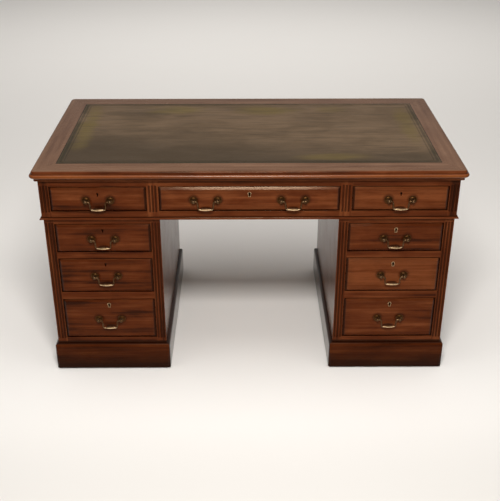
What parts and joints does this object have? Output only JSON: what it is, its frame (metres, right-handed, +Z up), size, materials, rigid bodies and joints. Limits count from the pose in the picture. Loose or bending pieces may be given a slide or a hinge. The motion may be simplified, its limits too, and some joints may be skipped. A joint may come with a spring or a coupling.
{
  "type": "pedestal desk",
  "caption": "Mahogany pedestal desk with a leather-lined moulded top, fluted stiles, drawers with brass swan-neck handles, and hidden castors.",
  "frame": {"origin": "on the floor, below the middle of the top", "axes": "+X to the right of someone facing the drawers, +Y from the drawer fronts to the back, +Z up"},
  "size_m": [1.426, 0.78, 0.775],
  "materials": {
    "mahogany": "polished",
    "deal": "bare, aged",
    "oak": "bare, aged",
    "leather": "worn, tooled border",
    "brass": "aged",
    "iron": "blackened"
  },
  "bodies": {
    "desk": {"top_moulded_border": "mahogany", "top_ground_panel": "deal", "leather_writing_surface": "leather", "frieze_ends_and_back": "mahogany", "frieze_fluted_stiles": "mahogany", "frieze_front_rails": "mahogany", "frieze_bottom_and_partitions": "deal", "frieze_base_moulding": "mahogany", "pedestal_sides_and_backs": "mahogany", "pedestal_fluted_stiles": "mahogany", "pedestal_drawer_rails": "mahogany", "dust_boards_and_guides": "deal", "locating_pegs": "oak", "plinth_boards": "mahogany", "plinth_corner_blocks": "deal", "castor_plates": "iron"},
    "left_frieze_drawer": {"left_frieze_drawer": "mahogany", "left_frieze_drawer_fittings": "brass"},
    "left_frieze_bail": {"left_frieze_bail": "brass"},
    "centre_frieze_drawer": {"centre_frieze_drawer": "mahogany", "centre_frieze_drawer_fittings": "brass"},
    "centre_frieze_left_bail": {"centre_frieze_left_bail": "brass"},
    "centre_frieze_right_bail": {"centre_frieze_right_bail": "brass"},
    "right_frieze_drawer": {"right_frieze_drawer": "mahogany", "right_frieze_drawer_fittings": "brass"},
    "right_frieze_bail": {"right_frieze_bail": "brass"},
    "left_top_drawer": {"left_top_drawer": "mahogany", "left_top_drawer_fittings": "brass"},
    "left_top_bail": {"left_top_bail": "brass"},
    "right_top_drawer": {"right_top_drawer": "mahogany", "right_top_drawer_fittings": "brass"},
    "right_top_bail": {"right_top_bail": "brass"},
    "left_middle_drawer": {"left_middle_drawer": "mahogany", "left_middle_drawer_fittings": "brass"},
    "left_middle_bail": {"left_middle_bail": "brass"},
    "right_middle_drawer": {"right_middle_drawer": "mahogany", "right_middle_drawer_fittings": "brass"},
    "right_middle_bail": {"right_middle_bail": "brass"},
    "left_bottom_drawer": {"left_bottom_drawer": "mahogany", "left_bottom_drawer_fittings": "brass"},
    "left_bottom_bail": {"left_bottom_bail": "brass"},
    "right_bottom_drawer": {"right_bottom_drawer": "mahogany", "right_bottom_drawer_fittings": "brass"},
    "right_bottom_bail": {"right_bottom_bail": "brass"},
    "left_front_outer_castor_horn": {"left_front_outer_castor_horn": "iron"},
    "left_front_outer_castor_wheel": {"left_front_outer_castor_wheel": "iron"},
    "left_front_inner_castor_horn": {"left_front_inner_castor_horn": "iron"},
    "left_front_inner_castor_wheel": {"left_front_inner_castor_wheel": "iron"},
    "left_back_outer_castor_horn": {"left_back_outer_castor_horn": "iron"},
    "left_back_outer_castor_wheel": {"left_back_outer_castor_wheel": "iron"},
    "left_back_inner_castor_horn": {"left_back_inner_castor_horn": "iron"},
    "left_back_inner_castor_wheel": {"left_back_inner_castor_wheel": "iron"},
    "right_front_outer_castor_horn": {"right_front_outer_castor_horn": "iron"},
    "right_front_outer_castor_wheel": {"right_front_outer_castor_wheel": "iron"},
    "right_front_inner_castor_horn": {"right_front_inner_castor_horn": "iron"},
    "right_front_inner_castor_wheel": {"right_front_inner_castor_wheel": "iron"},
    "right_back_outer_castor_horn": {"right_back_outer_castor_horn": "iron"},
    "right_back_outer_castor_wheel": {"right_back_outer_castor_wheel": "iron"},
    "right_back_inner_castor_horn": {"right_back_inner_castor_horn": "iron"},
    "right_back_inner_castor_wheel": {"right_back_inner_castor_wheel": "iron"}
  },
  "joints": [
    {"name": "left_frieze_drawer_slide", "type": "slide", "parent": "desk", "child": "left_frieze_drawer", "axis": [0, -1, 0], "range_m": [0, 0.44]},
    {"name": "left_frieze_bail_hinge", "type": "hinge", "parent": "left_frieze_drawer", "child": "left_frieze_bail", "pos_m": [-0.497, -0.384, 0.66775], "axis": [-1, 0, 0], "range_deg": [-18, 198]},
    {"name": "centre_frieze_drawer_slide", "type": "slide", "parent": "desk", "child": "centre_frieze_drawer", "axis": [0, -1, 0], "range_m": [0, 0.44]},
    {"name": "centre_frieze_left_bail_hinge", "type": "hinge", "parent": "centre_frieze_drawer", "child": "centre_frieze_left_bail", "pos_m": [-0.14395, -0.384, 0.66775], "axis": [-1, 0, 0], "range_deg": [-18, 198]},
    {"name": "centre_frieze_right_bail_hinge", "type": "hinge", "parent": "centre_frieze_drawer", "child": "centre_frieze_right_bail", "pos_m": [0.14395, -0.384, 0.66775], "axis": [-1, 0, 0], "range_deg": [-18, 198]},
    {"name": "right_frieze_drawer_slide", "type": "slide", "parent": "desk", "child": "right_frieze_drawer", "axis": [0, -1, 0], "range_m": [0, 0.44]},
    {"name": "right_frieze_bail_hinge", "type": "hinge", "parent": "right_frieze_drawer", "child": "right_frieze_bail", "pos_m": [0.497, -0.384, 0.66775], "axis": [-1, 0, 0], "range_deg": [-18, 198]},
    {"name": "left_top_drawer_slide", "type": "slide", "parent": "desk", "child": "left_top_drawer", "axis": [0, -1, 0], "range_m": [0, 0.44]},
    {"name": "left_top_bail_hinge", "type": "hinge", "parent": "left_top_drawer", "child": "left_top_bail", "pos_m": [-0.4915, -0.38, 0.52375], "axis": [-1, 0, 0], "range_deg": [-18, 198]},
    {"name": "right_top_drawer_slide", "type": "slide", "parent": "desk", "child": "right_top_drawer", "axis": [0, -1, 0], "range_m": [0, 0.44]},
    {"name": "right_top_bail_hinge", "type": "hinge", "parent": "right_top_drawer", "child": "right_top_bail", "pos_m": [0.4915, -0.38, 0.52375], "axis": [-1, 0, 0], "range_deg": [-18, 198]},
    {"name": "left_middle_drawer_slide", "type": "slide", "parent": "desk", "child": "left_middle_drawer", "axis": [0, -1, 0], "range_m": [0, 0.44]},
    {"name": "left_middle_bail_hinge", "type": "hinge", "parent": "left_middle_drawer", "child": "left_middle_bail", "pos_m": [-0.4915, -0.38, 0.382], "axis": [-1, 0, 0], "range_deg": [-18, 198]},
    {"name": "right_middle_drawer_slide", "type": "slide", "parent": "desk", "child": "right_middle_drawer", "axis": [0, -1, 0], "range_m": [0, 0.44]},
    {"name": "right_middle_bail_hinge", "type": "hinge", "parent": "right_middle_drawer", "child": "right_middle_bail", "pos_m": [0.4915, -0.38, 0.382], "axis": [-1, 0, 0], "range_deg": [-18, 198]},
    {"name": "left_bottom_drawer_slide", "type": "slide", "parent": "desk", "child": "left_bottom_drawer", "axis": [0, -1, 0], "range_m": [0, 0.44]},
    {"name": "left_bottom_bail_hinge", "type": "hinge", "parent": "left_bottom_drawer", "child": "left_bottom_bail", "pos_m": [-0.4915, -0.38, 0.2085], "axis": [-1, 0, 0], "range_deg": [-18, 198]},
    {"name": "right_bottom_drawer_slide", "type": "slide", "parent": "desk", "child": "right_bottom_drawer", "axis": [0, -1, 0], "range_m": [0, 0.44]},
    {"name": "right_bottom_bail_hinge", "type": "hinge", "parent": "right_bottom_drawer", "child": "right_bottom_bail", "pos_m": [0.4915, -0.38, 0.2085], "axis": [-1, 0, 0], "range_deg": [-18, 198]},
    {"name": "left_front_outer_castor_swivel", "type": "hinge", "parent": "desk", "child": "left_front_outer_castor_horn", "pos_m": [-0.642, -0.319, 0.0385], "axis": [0, 0, 1], "continuous": true},
    {"name": "left_front_outer_castor_roll", "type": "hinge", "parent": "left_front_outer_castor_horn", "child": "left_front_outer_castor_wheel", "pos_m": [-0.642, -0.305, 0.017], "axis": [1, 0, 0], "continuous": true},
    {"name": "left_front_inner_castor_swivel", "type": "hinge", "parent": "desk", "child": "left_front_inner_castor_horn", "pos_m": [-0.341, -0.319, 0.0385], "axis": [0, 0, 1], "continuous": true},
    {"name": "left_front_inner_castor_roll", "type": "hinge", "parent": "left_front_inner_castor_horn", "child": "left_front_inner_castor_wheel", "pos_m": [-0.341, -0.305, 0.017], "axis": [1, 0, 0], "continuous": true},
    {"name": "left_back_outer_castor_swivel", "type": "hinge", "parent": "desk", "child": "left_back_outer_castor_horn", "pos_m": [-0.642, 0.319, 0.0385], "axis": [0, 0, 1], "continuous": true},
    {"name": "left_back_outer_castor_roll", "type": "hinge", "parent": "left_back_outer_castor_horn", "child": "left_back_outer_castor_wheel", "pos_m": [-0.642, 0.333, 0.017], "axis": [1, 0, 0], "continuous": true},
    {"name": "left_back_inner_castor_swivel", "type": "hinge", "parent": "desk", "child": "left_back_inner_castor_horn", "pos_m": [-0.341, 0.319, 0.0385], "axis": [0, 0, 1], "continuous": true},
    {"name": "left_back_inner_castor_roll", "type": "hinge", "parent": "left_back_inner_castor_horn", "child": "left_back_inner_castor_wheel", "pos_m": [-0.341, 0.333, 0.017], "axis": [1, 0, 0], "continuous": true},
    {"name": "right_front_outer_castor_swivel", "type": "hinge", "parent": "desk", "child": "right_front_outer_castor_horn", "pos_m": [0.642, -0.319, 0.0385], "axis": [0, 0, 1], "continuous": true},
    {"name": "right_front_outer_castor_roll", "type": "hinge", "parent": "right_front_outer_castor_horn", "child": "right_front_outer_castor_wheel", "pos_m": [0.642, -0.305, 0.017], "axis": [1, 0, 0], "continuous": true},
    {"name": "right_front_inner_castor_swivel", "type": "hinge", "parent": "desk", "child": "right_front_inner_castor_horn", "pos_m": [0.341, -0.319, 0.0385], "axis": [0, 0, 1], "continuous": true},
    {"name": "right_front_inner_castor_roll", "type": "hinge", "parent": "right_front_inner_castor_horn", "child": "right_front_inner_castor_wheel", "pos_m": [0.341, -0.305, 0.017], "axis": [1, 0, 0], "continuous": true},
    {"name": "right_back_outer_castor_swivel", "type": "hinge", "parent": "desk", "child": "right_back_outer_castor_horn", "pos_m": [0.642, 0.319, 0.0385], "axis": [0, 0, 1], "continuous": true},
    {"name": "right_back_outer_castor_roll", "type": "hinge", "parent": "right_back_outer_castor_horn", "child": "right_back_outer_castor_wheel", "pos_m": [0.642, 0.333, 0.017], "axis": [1, 0, 0], "continuous": true},
    {"name": "right_back_inner_castor_swivel", "type": "hinge", "parent": "desk", "child": "right_back_inner_castor_horn", "pos_m": [0.341, 0.319, 0.0385], "axis": [0, 0, 1], "continuous": true},
    {"name": "right_back_inner_castor_roll", "type": "hinge", "parent": "right_back_inner_castor_horn", "child": "right_back_inner_castor_wheel", "pos_m": [0.341, 0.333, 0.017], "axis": [1, 0, 0], "continuous": true}
  ]
}
